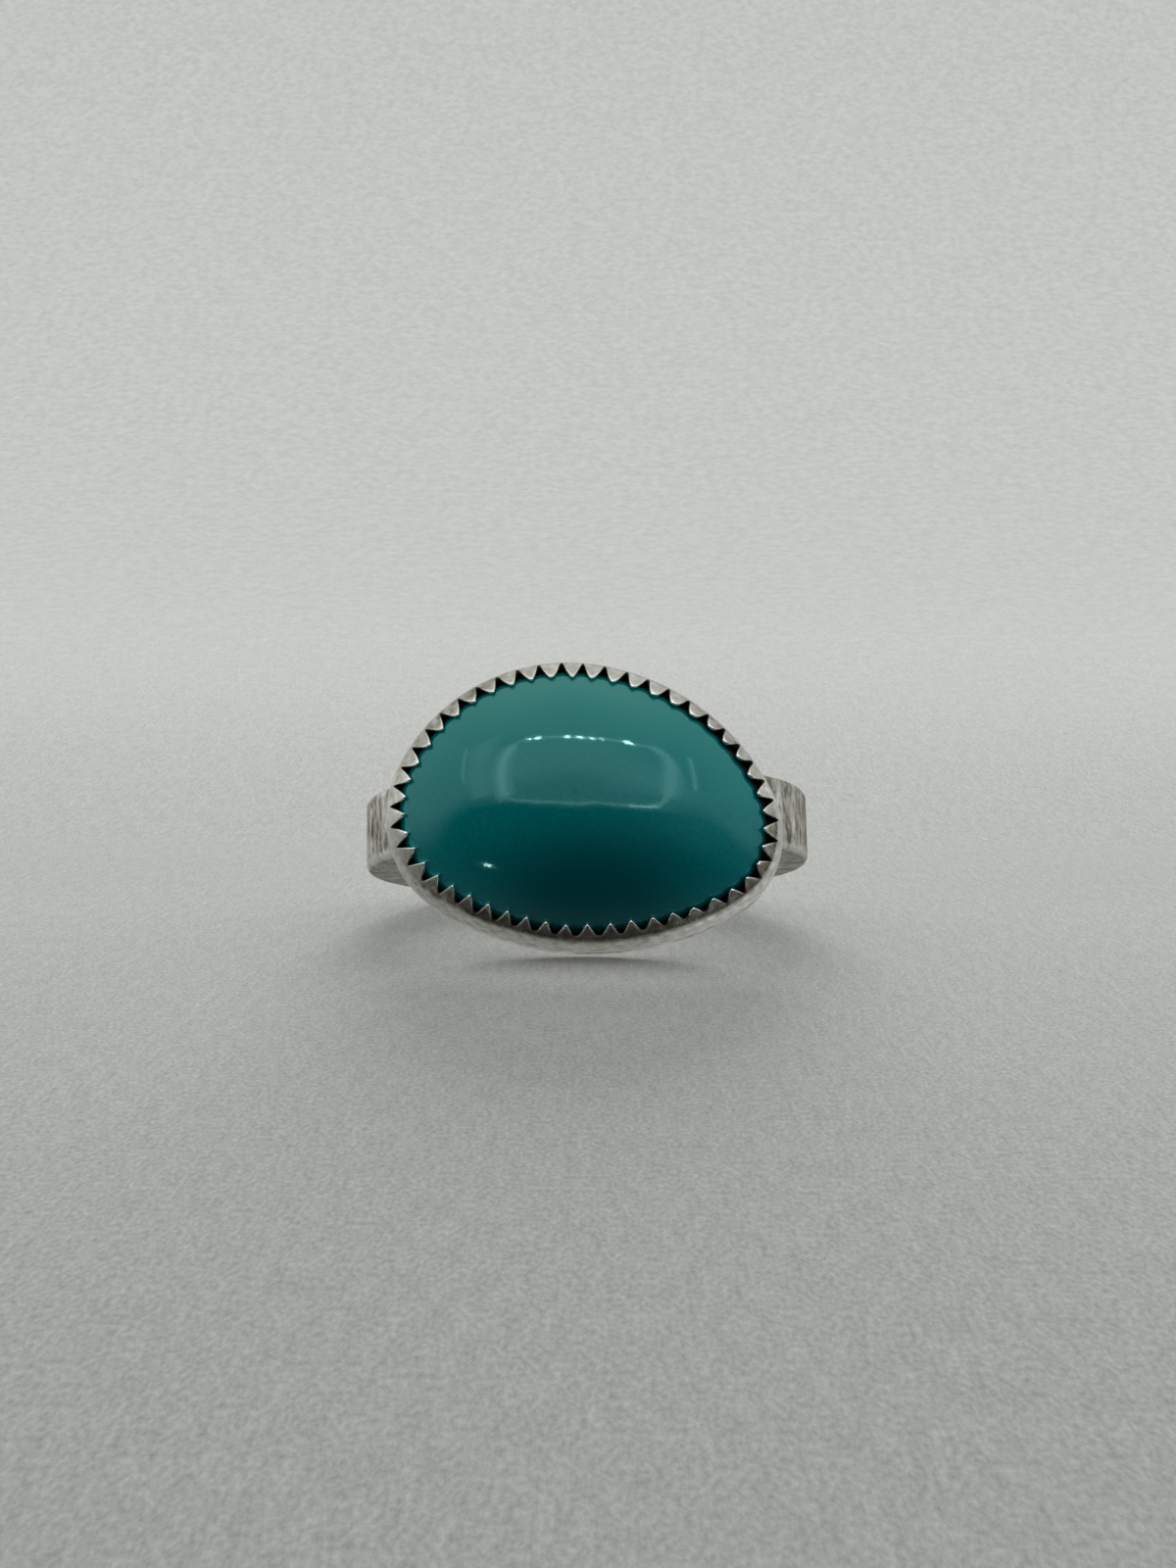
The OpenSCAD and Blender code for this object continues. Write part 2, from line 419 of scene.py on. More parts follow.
def back_plate(silver):
    stations = even_stations(PLATE_STATIONS)
    r = PLATE_EDGE_R
    flat_insets = [3.0, 1.5, 0.6]
    edge_steps = 5
    section = np.array(
        [(inset, 0) for inset in (*flat_insets, r + 0.06, r)]
        + arc_rows((r, r), r, -90, -180, edge_steps)
        + [(0, h) for h in np.linspace(r, PLATE_T - r, edge_steps)]
        + arc_rows((r, PLATE_T - r), r, 180, 90, edge_steps)
        + [(inset, PLATE_T) for inset in (r, *reversed(flat_insets))]
    )
    inset = np.repeat(section[:, :1], len(stations), axis=1)
    height = np.repeat(section[:, 1:], len(stations), axis=1)
    # The edge is filed by hand, on average this far inside the outline
    filed_off = 0.02
    path = egg(stations, np.zeros(len(stations)))
    uneven = 0.012 * ripple(path, 1.6) + 0.006 * ripple(path, 0.5)
    edge = smoothstep(0.5, 0.1, inset)
    points = egg(np.broadcast_to(stations, inset.shape), inset + edge * (filed_off - uneven))
    rows = np.concatenate([points, (PLATE_U + height)[..., None]], axis=-1)
    mottled = 0.12 * ripple(rows, 1.2) * smoothstep(2.2, 0.8, inset)
    rubbed_edge = edge * (height > 0.3)
    patina = np.clip(0.26 + mottled - 0.08 * rubbed_edge, 0, 1)
    middle = rows[0].mean(axis=0)
    return loft(
        "back_plate", rows, patina, silver, "band_and_bezel", closed=False,
        first_pole=(middle[0], middle[1], PLATE_U), last_pole=(middle[0], middle[1], PLATE_U + PLATE_T),
    )


def wall_path(length):
    """Inset and height of the wall's outer face at a length past the foot."""
    past = np.maximum(length - NOTCH_LINE, 0)
    inset = np.interp(length, WALL_LENGTHS, WALL_INSETS) + past * math.sin(TOOTH_LEAN)
    height = np.interp(length, WALL_LENGTHS, WALL_HEIGHTS) + past * math.cos(TOOTH_LEAN)
    return np.stack([inset, height - TOOTH_CURL * past ** 2])


def wall_direction(length):
    """Unit vector of (inset, height) along the wall's outer face at a length past the foot."""
    step = wall_path(length + 0.02) - wall_path(length)
    return step / np.hypot(step[0], step[1])


def place_of(distance):
    """Place round the bezel, counted in teeth, at a distance along the foot's outline."""
    return np.mod(distance / PITCH, TEETH)


def at_place(column, place):
    """Value from the table of teeth at a place round the bezel."""
    return np.interp(np.mod(place, TEETH), TOOTH_TABLE[:, PLACE], TOOTH_TABLE[:, column])


def soft_corner(rise, softness):
    """A rise from 0 to 1 whose start is rounded off."""
    return (np.hypot(rise, softness) - softness) / (np.hypot(1, softness) - softness)


def by_hand(low, high):
    """A random value for each tooth, the same at all of its stations."""
    return np.repeat(rng.uniform(low, high, TEETH), TOOTH_STATIONS)


def tooth_profile():
    """Distance along the outline, length of the wall, and rise of the tooth at each station.

    The rise goes from 0 in a notch to 1 at a tip.
    """
    tooth = np.repeat(np.arange(TEETH), TOOTH_STATIONS)
    phase = np.tile(np.arange(TOOTH_STATIONS) / TOOTH_STATIONS, TEETH)
    # Tips and notches stray a little from their even places, counted in teeth
    tip = tooth + by_hand(-0.05, 0.05)
    notch_shift = by_hand(-0.03, 0.03)
    start = tooth - 0.5 + notch_shift
    end = tooth + 0.5 + np.roll(notch_shift, -TOOTH_STATIONS)
    place = np.where(phase < 0.5, start + (tip - start) * 2 * phase, tip + (end - tip) * (2 * phase - 1))
    roundness = at_place(ROUND, place)
    rise = 1 - np.abs(2 * phase - 1)
    rise = rise + at_place(SWELL, place) * np.sin(math.pi * rise)
    # Tips are blunter where the notches are rounder
    blunt = by_hand(0.08, 0.18) + 1.6 * (roundness - 0.08)
    rise = 1 - soft_corner(1 - rise, blunt)
    rise = soft_corner(rise, roundness)
    dent = (tooth == DENTED_TOOTH) * DENT_DEPTH * np.exp(-((phase - DENT_PLACE) / DENT_WIDTH) ** 2)
    reach = at_place(REACH, place) + by_hand(-0.03, 0.03)
    notch = at_place(NOTCH, place)
    length = NOTCH_LINE - notch + (reach + notch) * (rise - dent)
    return (place + at_place(DRIFT, place)) * PITCH, length, rise


def bezel_patina_and_shade(face, up, top, place):
    """Patina and painted shade of the bezel's face, from its points, their lengths past the foot and their
    places.
    """
    # On the lower side, where the face looks down, painted shade darkens the teeth and the crease below
    # them; in the crease it is partly patina
    shaded_low_side = smoothstep(0.5, -2.0, face[..., 1]) * smoothstep(-7.5, -5.0, face[..., 0])
    wavy_up = up + 0.03 * ripple(face, 0.9)
    on_tooth = smoothstep(CREASE_LENGTH - 0.06, CREASE_LENGTH + 0.02, wavy_up)
    crease = np.exp(-((wavy_up - CREASE_LENGTH) / CREASE_WIDTH) ** 2)
    # The upper third of each tooth is rubbed bright
    share_up = (up - RUBBED_FROM) / np.maximum(top - RUBBED_FROM, 0.2)
    dull = 1 - smoothstep(0.66, 0.95, share_up)
    patina = np.interp(place, TARNISH_PLACES, TARNISH) * dull
    patina = patina + shaded_low_side * (0.34 * on_tooth * dull + 0.3 * crease)
    return patina + 0.07 * ripple(face, 0.5) * dull


def serrated_bezel(silver):
    distance, top, rise = tooth_profile()
    place = place_of(distance)
    # Lengths past the foot of all points of the outer face
    up = np.concatenate([
        np.repeat(np.linspace(0, LEVEL_LENGTH, LEVEL_ROWS + 1)[:-1, None], len(top), axis=1),
        LEVEL_LENGTH + np.linspace(0, 1, TOOTH_ROWS)[:, None] * (top - CAP_H - LEVEL_LENGTH),
    ])
    outer = wall_path(up)
    along = wall_direction(up)
    inward = np.stack([along[1], -along[0]])
    extra = LOW_TEETH_EXTRA * smoothstep(*LOW_TEETH_LENGTHS, up) * smoothstep(*LOW_TEETH_START, place)
    extra = extra * smoothstep(*LOW_TEETH_END, place)
    thick = np.interp(up, THICKNESS_LENGTHS, THICKNESSES) + extra
    across, above = CAP_CURVE.T[..., None]
    cap = outer[:, -1:] + across * thick[-1] * inward[:, -1:] + CAP_H * above * along[:, -1:]
    inner = (outer + thick * inward)[:, ::-2]
    inset, height = np.concatenate([outer, cap, inner], axis=1)
    flat = egg(np.broadcast_to(distance, inset.shape), inset)
    rows = np.concatenate([flat, (PLATE_U + height)[..., None]], axis=-1)
    # Hand work: the face isn't quite even
    face = rows[:len(up)]
    uneven = 0.012 * ripple(face, 1.5) + 0.005 * ripple(face, 0.5)
    face[..., 2] += uneven * smoothstep(0.2, 0.8, up)
    # The edge is black in the notches and bright at the tips, and the inside is black
    cap_patina = 0.9 - 0.95 * smoothstep(0.15, 0.55, rise)
    patina = np.ones_like(inset)
    # The face takes patina, and painted shade on its lower side
    patina[:len(up)] = bezel_patina_and_shade(face, up, top, place)
    patina[len(up):len(up) + len(CAP_CURVE)] = cap_patina
    return loft("serrated_bezel", rows, np.clip(patina, 0, 1), silver, "band_and_bezel")


def solder_seam(silver):
    """The fillet of solder round the joint between the band and the back plate."""
    angle = np.linspace(0, 2 * math.pi, SEAM_STATIONS, endpoint=False)
    out_x, out_v = np.cos(angle), np.sin(angle)
    flat_half = math.sqrt(BAND_R ** 2 - PLATE_U ** 2)
    size = np.abs(out_x / flat_half) ** SEAM_POWER + np.abs(out_v / BAND_HALF) ** SEAM_POWER
    size = size ** (-1 / SEAM_POWER)
    x, v = size * out_x, size * out_v
    end = smoothstep(0.90, 0.99, np.abs(x) / flat_half)
    push_x = np.sign(x) * end * SEAM_END_REACH + out_x * SEAM_SUNK
    push_v = np.sign(v) * (1 - end) * SEAM_LEG
    lower_v = np.sign(v) * (1 - end) * -SEAM_SUNK
    drop = SEAM_LEG * (1 - end) + end * SEAM_END_DROP
    # The skin runs from the plate, at 0, down to the band, at 1, and is hollowed between them
    t = np.linspace(0, 1, 7)[:, None]
    hollow = 0.35 * np.sin(math.pi * t)
    uneven = 1 + 0.12 * ripple(np.stack([x, v], axis=-1), 0.8)
    skin = np.stack([
        x + push_x * (1 - t * end) * (1 - 0.4 * hollow) * uneven,
        v + (push_v * (1 - t) + lower_v * t) * (1 - hollow * 0.9) * uneven,
        PLATE_U + SEAM_SUNK - drop * t * (1 - 0.5 * hollow) * uneven,
    ], axis=-1)
    # The core closes the loop inside the metal, at this share of the joint's size
    inside = 0.7
    core = np.stack([
        np.column_stack([x * inside, v * inside, np.full(SEAM_STATIONS, PLATE_U + height)])
        for height in (-0.3, 0.2)
    ])
    rows = np.concatenate([skin, core])
    patina = np.clip(0.45 + 0.2 * ripple(rows, 0.5), 0, 1)
    return loft("solder_seam", rows, patina, silver, "band_and_bezel")


def stone_section():
    """The stone from its flat back to the foot of its dome, as rows of (inset, height)."""
    back = [(inset, STONE_BASE) for inset in (3.5, 1.5, STONE_INSET + 0.2)]
    edge = [(STONE_INSET + 0.06, STONE_BASE + 0.03), (STONE_INSET + 0.01, STONE_BASE + 0.09)]
    side = [(STONE_INSET, height) for height in np.linspace(STONE_BASE + BACK_EDGE_H, GIRDLE_HEIGHT, 6)]
    t = np.linspace(0, 1, SHOULDER_ROWS + 1)[1:]
    insets = STONE_INSET + (DOME_FOOT_INSET - STONE_INSET) * t ** SHOULDER_POWER
    heights = GIRDLE_HEIGHT + t * (DOME_FOOT_HEIGHT - GIRDLE_HEIGHT)
    return [*back, *edge, *side, *zip(insets, heights)]


def cabochon(turquoise):
    stations = even_stations(STONE_STATIONS)
    dome_h = STONE_BASE + STONE_H - DOME_FOOT_HEIGHT
    gap = at_place(GAP, stations / PITCH)
    grime_and_shade_shift = GRIME_AND_SHADE_PER_GAP * gap
    rows, grime_and_shade = [], []
    for inset, height in stone_section():
        outline = egg(stations, inset + gap * smoothstep(STONE_INSET, DOME_FOOT_INSET, inset))
        rows.append(np.column_stack([outline, np.full(len(stations), PLATE_U + height)]))
        # Grime and painted shade on the stone's side, by the bezel
        grime_and_shade.append(smoothstep(GRIME_AND_SHADE_END + grime_and_shade_shift, GRIME_AND_SHADE_FULL + grime_and_shade_shift, inset))
    foot = egg(stations, DOME_FOOT_INSET + gap)
    for angle in np.linspace(0, math.pi / 2, DOME_ROWS + 2)[1:-1]:
        scale = math.cos(angle)
        outline = DOME_CENTRE + scale * (foot - DOME_CENTRE)
        height = PLATE_U + DOME_FOOT_HEIGHT + dome_h * (1 - scale ** DOME_POWER)
        rows.append(np.column_stack([outline, np.full(len(stations), height)]))
        grime_and_shade.append(np.zeros(len(stations)))
    rows = np.array(rows)
    on_dome = smoothstep(PLATE_U + 3, PLATE_U + 3.6, rows[..., 2])
    rows[..., 2] -= POLISH_WAVE * (1 + ripple(rows, 3.0)) * on_dome
    top = PLATE_U + STONE_BASE + STONE_H - POLISH_WAVE
    return loft(
        "cabochon", rows, np.array(grime_and_shade), turquoise, "stone", closed=False,
        first_pole=(*DOME_CENTRE, PLATE_U + STONE_BASE), last_pole=(*DOME_CENTRE, top),
    )


def fill(tree, node, inputs):
    """Fills a node's inputs with values or with other nodes' outputs."""
    for key, value in inputs.items():
        if isinstance(value, bpy.types.NodeSocket):
            tree.links.new(value, node.inputs[key])
        else:
            node.inputs[key].default_value = value


def add(tree, kind, inputs=None, **settings):
    """Adds a node, sets its properties and fills its inputs."""
    made = tree.nodes.new("ShaderNode" + kind)
    for key, value in settings.items():
        setattr(made, key, value)
    fill(tree, made, inputs or {})
    return made


def new_material(name, shader_kind):
    """A material with an empty tree, its shader joined to its output."""
    material = bpy.data.materials.new(name)
    material.use_nodes = True
    tree = material.node_tree
    tree.nodes.clear()
    shader = add(tree, shader_kind)
    add(tree, "OutputMaterial", {"Surface": shader.outputs[0]})
    return material, tree, shader


def operate(tree, operation, first, second):
    return add(tree, "Math", {0: first, 1: second}, operation=operation).outputs[0]


def plus(tree, first, second):
    return operate(tree, "ADD", first, second)


def times(tree, first, second):
    return operate(tree, "MULTIPLY", first, second)


def ramp(tree, value, low, high, start=0.0, end=1.0):
    """Goes evenly from start, where a value is low, to end, where it is high."""
    inputs = {"Value": value, "From Min": low, "From Max": high, "To Min": start, "To Max": end}
    return add(tree, "MapRange", inputs, clamp=True).outputs["Result"]


def soft_ramp(tree, value, low, high, start=0.0, end=1.0):
    """Goes smoothly from start, where a value is low, to end, where it is high."""
    inputs = {"Value": value, "From Min": low, "From Max": high, "To Min": start, "To Max": end}
    return add(tree, "MapRange", inputs, interpolation_type="SMOOTHSTEP").outputs["Result"]


def blend_colour(tree, factor, first, second):
    mix = add(tree, "Mix", data_type="RGBA")
    sockets = {socket.identifier: i for i, socket in enumerate(mix.inputs)}
    fill(tree, mix, {
        sockets["Factor_Float"]: factor,
        sockets["A_Color"]: first,
        sockets["B_Color"]: second,
    })
    return next(socket for socket in mix.outputs if socket.identifier == "Result_Color")


def noise(tree, place, scale, detail, roughness):
    inputs = {"Vector": place, "Scale": scale, "Detail": detail, "Roughness": roughness}
    return add(tree, "TexNoise", inputs).outputs["Fac"]


def scaled(tree, place, scale, middle=(0, 0, 0)):
    """Place seen from a middle point, times a scale for each axis."""
    shift = tuple(-a * b for a, b in zip(middle, scale))
    mapping = add(tree, "Mapping", {"Vector": place, "Location": shift, "Scale": scale})
    return mapping.outputs["Vector"]


def length_of(tree, vector):
    return add(tree, "VectorMath", {0: vector}, operation="LENGTH").outputs["Value"]


def ring_attributes(tree):
    """Place in the ring's own axes, and patina, which also carries painted shade."""
    place = add(tree, "Attribute", attribute_name="ring_mm").outputs["Vector"]
    patina = add(tree, "Attribute", attribute_name="patina").outputs["Fac"]
    return place, patina


# Colours of the silver as its patina rises: rubbed bright, clean, brown and black. Clean and brown
# each vary between two. The scratches are drawn out along the finger by their scale.
RUBBED_SILVER = (0.96, 0.95, 0.93, 1)
CLEAN_SILVER = (0.73, 0.715, 0.685, 1), (0.79, 0.775, 0.745, 1)
BROWN_SILVER = (0.32, 0.305, 0.265, 1), (0.30, 0.292, 0.225, 1)
BLACK_SILVER = (0.035, 0.028, 0.023, 1)
SCRATCH_SCALE = (9.0, 0.7, 9.0)


def oxidised_silver():
    material, tree, shader = new_material("oxidised_silver", "BsdfPrincipled")
    place, patina = ring_attributes(tree)
    mottle = noise(tree, place, 2.6, 5.0, 0.62)
    fine = noise(tree, place, 11.0, 4.0, 0.6)
    scratch = noise(tree, scaled(tree, place, SCRATCH_SCALE), 2.2, 6.0, 0.7)
    # The patina is uneven, most of all where it is thick
    uneven = times(tree, ramp(tree, mottle, 0.3, 0.7, -0.16, 0.16), ramp(tree, patina, 0.0, 0.5, 0.3, 1.0))
    streaky = times(tree, ramp(tree, scratch, 0.3, 0.7, -0.07, 0.07), ramp(tree, patina, 0.0, 0.4, 0.2, 1.0))
    dark = plus(tree, plus(tree, patina, uneven), streaky)
    clean = blend_colour(tree, fine, *CLEAN_SILVER)
    clean = blend_colour(tree, ramp(tree, dark, 0.0, 0.1), RUBBED_SILVER, clean)
    brown = blend_colour(tree, ramp(tree, mottle, 0.4, 0.6), *BROWN_SILVER)
    toned = blend_colour(tree, ramp(tree, dark, 0.0, 0.5), clean, brown)
    rough = ramp(tree, dark, 0.0, 0.9, 0.27, 0.55)
    relief = plus(tree, fine, times(tree, scratch, 0.8))
    bump = add(tree, "Bump", {"Height": relief, "Strength": 0.35, "Distance": 0.012 * MM})
    fill(tree, shader, {
        "Base Color": blend_colour(tree, ramp(tree, dark, 0.4, 1.0), toned, BLACK_SILVER),
        "Metallic": 1.0,
        "Roughness": plus(tree, rough, ramp(tree, fine, 0.3, 0.7, -0.05, 0.06)),
        "Normal": bump.outputs["Normal"],
    })
    return material


# Colours of the stone: two that its body varies between, its grain, the darker and lighter specks
# of its finest grain, the green towards the top, partly its own tone and partly painted light from
# above, the painted shade and dark reflection low in the middle, its flecks, and the grime and
# painted shade by the teeth. Then the middle of that low shade in the ring's axes, and its scale.
BODY_COLOURS = (0.0, 0.285, 0.340, 1), (0.0, 0.325, 0.355, 1)
GRAIN_COLOUR = (0.0, 0.340, 0.372, 1)
DARK_SPECKS = (0.0, 0.19, 0.22, 1)
LIGHT_SPECKS = (0.0, 0.46, 0.48, 1)
LIT_TOP_COLOUR = (0.003, 0.345, 0.325, 1)
LOW_SHADE_COLOUR = (0.0, 0.155, 0.185, 1)
FLECK_COLOUR = (0.0, 0.16, 0.17, 1)
GRIME_AND_SHADE_COLOUR = (0.012, 0.016, 0.018, 1)
LOW_SHADE_MIDDLE = (0.3, -5.0, 0)
LOW_SHADE_SCALE = (0.15, 0.22, 0)


def polished_turquoise():
    material, tree, shader = new_material("polished_turquoise", "BsdfPrincipled")
    place, grime_and_shade = ring_attributes(tree)
    clouds = noise(tree, place, 0.22, 4.0, 0.55)
    grain = noise(tree, place, 5.0, 5.0, 0.65)
    fine = noise(tree, place, 7.0, 3.0, 0.7)
    colour = blend_colour(tree, ramp(tree, clouds, 0.35, 0.65), *BODY_COLOURS)
    colour = blend_colour(tree, ramp(tree, grain, 0.3, 0.7), colour, GRAIN_COLOUR)
    colour = blend_colour(tree, ramp(tree, fine, 0.5, 0.7, 0.0, 0.45), colour, DARK_SPECKS)
    colour = blend_colour(tree, ramp(tree, fine, 0.5, 0.3, 0.0, 0.45), colour, LIGHT_SPECKS)
    v = add(tree, "SeparateXYZ", {"Vector": place}).outputs["Y"]
    # Lighter and greener towards the top: partly the stone's own tone, partly painted light from above
    colour = blend_colour(tree, soft_ramp(tree, v, -2.5, 5.0), colour, LIT_TOP_COLOUR)
    # Painted shade and a painted dark reflection, low in the middle of the stone
    from_low_shade = length_of(tree, scaled(tree, place, LOW_SHADE_SCALE, LOW_SHADE_MIDDLE))
    colour = blend_colour(tree, soft_ramp(tree, from_low_shade, 1.0, 0.2), colour, LOW_SHADE_COLOUR)
    cells = add(tree, "TexVoronoi", {"Vector": place, "Scale": 0.9, "Randomness": 1.0}, feature="F1")
    fleck = ramp(tree, cells.outputs["Distance"], 0.03, 0.075, 0.5, 0.0)
    colour = blend_colour(tree, fleck, colour, FLECK_COLOUR)
    polish = ramp(tree, grain, 0.3, 0.7, 0.05, 0.09)
    bump = add(tree, "Bump", {"Height": grain, "Strength": 0.12, "Distance": 0.01 * MM})
    # Grime and painted shade darken the stone by the teeth and dull its polish
    fill(tree, shader, {
        "Base Color": blend_colour(tree, grime_and_shade, colour, GRIME_AND_SHADE_COLOUR),
        "IOR": 1.61,
        "Specular IOR Level": 0.5,
        "Specular Tint": (0.5, 1.0, 0.97, 1),
        "Roughness": plus(tree, polish, times(tree, grime_and_shade, 0.5)),
        "Normal": bump.outputs["Normal"],
    })
    return material


# Colours that the paper's grain varies between, near the ring and far behind it. Then the scales of
# its grain and its fibres, per metre, the place in metres of the painted pool of light on the floor
# just in front of the ring, and the scale of that pool, per metre.
NEAR_PAPER = (0.53, 0.545, 0.52, 1), (0.89, 0.905, 0.88, 1)
FAR_PAPER = (0.69, 0.705, 0.68, 1), (0.83, 0.845, 0.82, 1)
PAPER_GRAIN_SCALE = (7000.0, 2600.0, 7000.0)
PAPER_FIBRE_SCALE = (2600.0, 420.0, 2600.0)
PAINTED_POOL_MIDDLE = (0, -0.0155, 0)
PAINTED_POOL_SCALE = (83.0, 182.0, 0)


def pale_paper():
    """Paper for the floor and the backdrop. Depth is metres behind the middle of the ring."""
    material, tree, shader = new_material("pale_paper", "BsdfPrincipled")
    place = add(tree, "TexCoord").outputs["Object"]
    depth = add(tree, "SeparateXYZ", {"Vector": place}).outputs["Y"]
    fine = noise(tree, scaled(tree, place, PAPER_GRAIN_SCALE), 1.0, 2.0, 0.6)
    fibres = noise(tree, scaled(tree, place, PAPER_FIBRE_SCALE), 1.0, 2.0, 0.6)
    grain = plus(tree, fine, times(tree, fibres, 0.4))
    near = blend_colour(tree, ramp(tree, grain, 0.4, 1.0), *NEAR_PAPER)
    far = blend_colour(tree, ramp(tree, noise(tree, place, 900.0, 3.0, 0.6), 0.3, 0.7), *FAR_PAPER)
    colour = blend_colour(tree, soft_ramp(tree, depth, 0.06, 0.20), near, far)
    # Painted shade: the paper is darker towards the front, and painted light makes it lighter from just
    # behind the ring back
    painted_shade = plus(
        tree, ramp(tree, depth, -0.085, 0.005, 0.458, 0.659), ramp(tree, depth, 0.02, 0.13, 0.0, 0.141)
    )
    colour = add(tree, "VectorMath", {0: colour, "Scale": painted_shade}, operation="SCALE").outputs["Vector"]
    # It gives off a little light, more towards the bend at the back, which keeps it even
    lift = plus(
        tree, soft_ramp(tree, depth, 0.04, 0.13, 0.0, 0.22), ramp(tree, depth, 0.04, 0.30, 0.15, 0.33)
    )
    # Painted light: a glowing pool on the floor just in front of the ring, in place of light that the bright
    # metal would throw
    from_middle = length_of(tree, scaled(tree, place, PAINTED_POOL_SCALE, PAINTED_POOL_MIDDLE))
    painted_pool = soft_ramp(tree, from_middle, 1.0, 0.1, 0.0, 0.16)
    fill(tree, shader, {
        "Base Color": colour,
        "Emission Color": colour,
        "Emission Strength": plus(tree, lift, painted_pool),
        "Roughness": 0.9,
        "Specular IOR Level": 0.1,
    })
    return material


def glow(name, strength):
    material, tree, shader = new_material(name, "Emission")
    fill(tree, shader, {"Color": (1, 1, 1, 1), "Strength": strength})
    return material


# Backdrop, in metres: its reach to the front, the start and radius of its bend at the back, how
# far it bends up in degrees, and half its width
BACKDROP_FRONT = 0.6
BEND_START = 0.04
BEND_R = 0.34
BEND_END = 75
BACKDROP_HALF = 0.8


def backdrop():
    """A pale floor that curves up behind the ring. The room, and not the floor, is mirrored."""
    bend = [
        (BEND_START + BEND_R * math.sin(a), BEND_R * (1 - math.cos(a)))
        for a in np.radians(np.linspace(0, BEND_END, 26))
    ]
    profile = [(-BACKDROP_FRONT, 0.0), (-0.1, 0.0), (0.0, 0.0), *bend]
    mesh = bpy.data.meshes.new("backdrop")
    points = [(x, y, z) for y, z in profile for x in (-BACKDROP_HALF, BACKDROP_HALF)]
    mesh.from_pydata(points, [], [(2 * i, 2 * i + 1, 2 * i + 3, 2 * i + 2) for i in range(len(profile) - 1)])
    mesh.polygons.foreach_set("use_smooth", np.ones(len(mesh.polygons), bool))
    mesh.materials.append(pale_paper())
    sweep = bpy.data.objects.new("backdrop", mesh)
    bpy.context.scene.collection.objects.link(sweep)
    sweep.visible_glossy = False
    sweep.visible_diffuse = False
    sweep.visible_shadow = False


def reflector(name, facing, distance, shapes, strength):
    """Bright flat shapes that only show in reflections, each a loop of (right, up) in metres.

    They lie on a plane at a distance from the ring, in the direction that facing gives.
    """
    forward = -Vector(facing).normalized()
    right = forward.cross(Vector((0, 0, 1))).normalized()
    up = right.cross(forward)
    points, faces = [], []
    for shape in shapes:
        faces.append(list(range(len(points), len(points) + len(shape))))
        points += [tuple(right * float(a) + up * float(b) - forward * distance) for a, b in shape]
    mesh = bpy.data.meshes.new(name)
    mesh.from_pydata(points, [], faces)
    mesh.materials.append(glow(name, strength))
    made = bpy.data.objects.new(name, mesh)
    bpy.context.scene.collection.objects.link(made)
    made.visible_camera = False
    made.visible_diffuse = False
    made.visible_shadow = False
    made.visible_transmission = False


# The window that the stone mirrors, on a plane in front of it: points of its outline in metres,
# clockwise from the lower left as the stone shows them
WINDOW_FACING = (0.065, -0.74, 0.669)
WINDOW_DISTANCE = 0.35
WINDOW_OUTLINE = np.array([
    [-0.219, -0.100],
    [-0.223, -0.006],
    [-0.226, 0.060],
    [-0.215, 0.115],
    [-0.180, 0.146],
    [-0.112, 0.139],
    [0.009, 0.125],
    [0.122, 0.146],
    [0.190, 0.166],
    [0.233, 0.158],
    [0.241, 0.118],
    [0.228, 0.065],
    [0.200, -0.005],
    [0.178, -0.080],
    [0.150, -0.128],
    [0.100, -0.146],
    [0.000, -0.152],
    [-0.093, -0.149],
    [-0.185, -0.138],
])
# Strips along the outline: first and last point, width and strength
WINDOW_STRIPS = {
    "window_left_glow": (-0.4, 3.4, 0.090, 1.25),
    "window_left": (-0.2, 3.6, 0.050, 1.7),
    "window_left_core": (-0.1, 3.6, 0.022, 2.3),
    "window_corner": (3.6, 5.0, 0.012, 1.9),
    "window_top": (5.0, 7.0, 0.008, 3.0),
    "window_top_right": (7.0, 8.2, 0.009, 2.2),
    "window_right_glow": (8.2, 12.6, 0.060, 1.2),
    "window_right": (8.2, 12.6, 0.026, 1.9),
    "window_low_right": (12.6, 14.2, 0.020, 1.8),
    "window_sill_end": (14.0, 15.4, 0.013, 4.2),
    "window_sill": (15.4, 18.8, 0.010, 1.8),
}
# A wider strip lies further back, by this share of its width, so that the narrow ones cover it
STRIP_SET_BACK = 0.02
# Bright dashes on the upper edge, as the places where each starts and ends across the window;
# their height, their strength, how far they lie in front, and the points that the edge lies between
DASHES = [
    (-0.149, -0.140),
    (-0.126, -0.111),
    (-0.037, -0.025),
    (-0.005, 0.008),
    (0.026, 0.034),
    (0.055, 0.059),
    (0.124, 0.144),
]
DASH_HEIGHT = 0.012
DASH_STRENGTH = 34.0
DASH_FORWARD = 0.002
UPPER_EDGE = (4, 9)
# Fainter streaks beside the window, as the two ends of each; their width and strength
STREAKS = [((-0.452, 0.315), (-0.430, 0.060)), ((0.345, 0.235), (0.297, 0.060))]
STREAK_WIDTH = 0.011
STREAK_STRENGTH = 2.3
# A pale stretch of wall to the left of the window, with a soft edge: its two ends, the width and
# strength of its layers from the back, how far the first lies behind the window, and their spacing
PALE_WALL = [(-0.345, 0.28), (-0.340, -0.09)]
PALE_WALL_LAYERS = [(0.18, 0.80), (0.15, 0.90), (0.11, 1.00), (0.07, 1.10)]
PALE_WALL_SET_BACK = 0.01
LAYER_SPACING = 0.001
# A small spark low on the left
SPARK = [(-0.006, -0.0003), (0.0045, -0.0028), (0.005, -0.0002), (-0.005, 0.0024)]
SPARK_FACING = (-0.150, -0.190, -0.166)
SPARK_DISTANCE = 0.3
SPARK_STRENGTH = 70.0


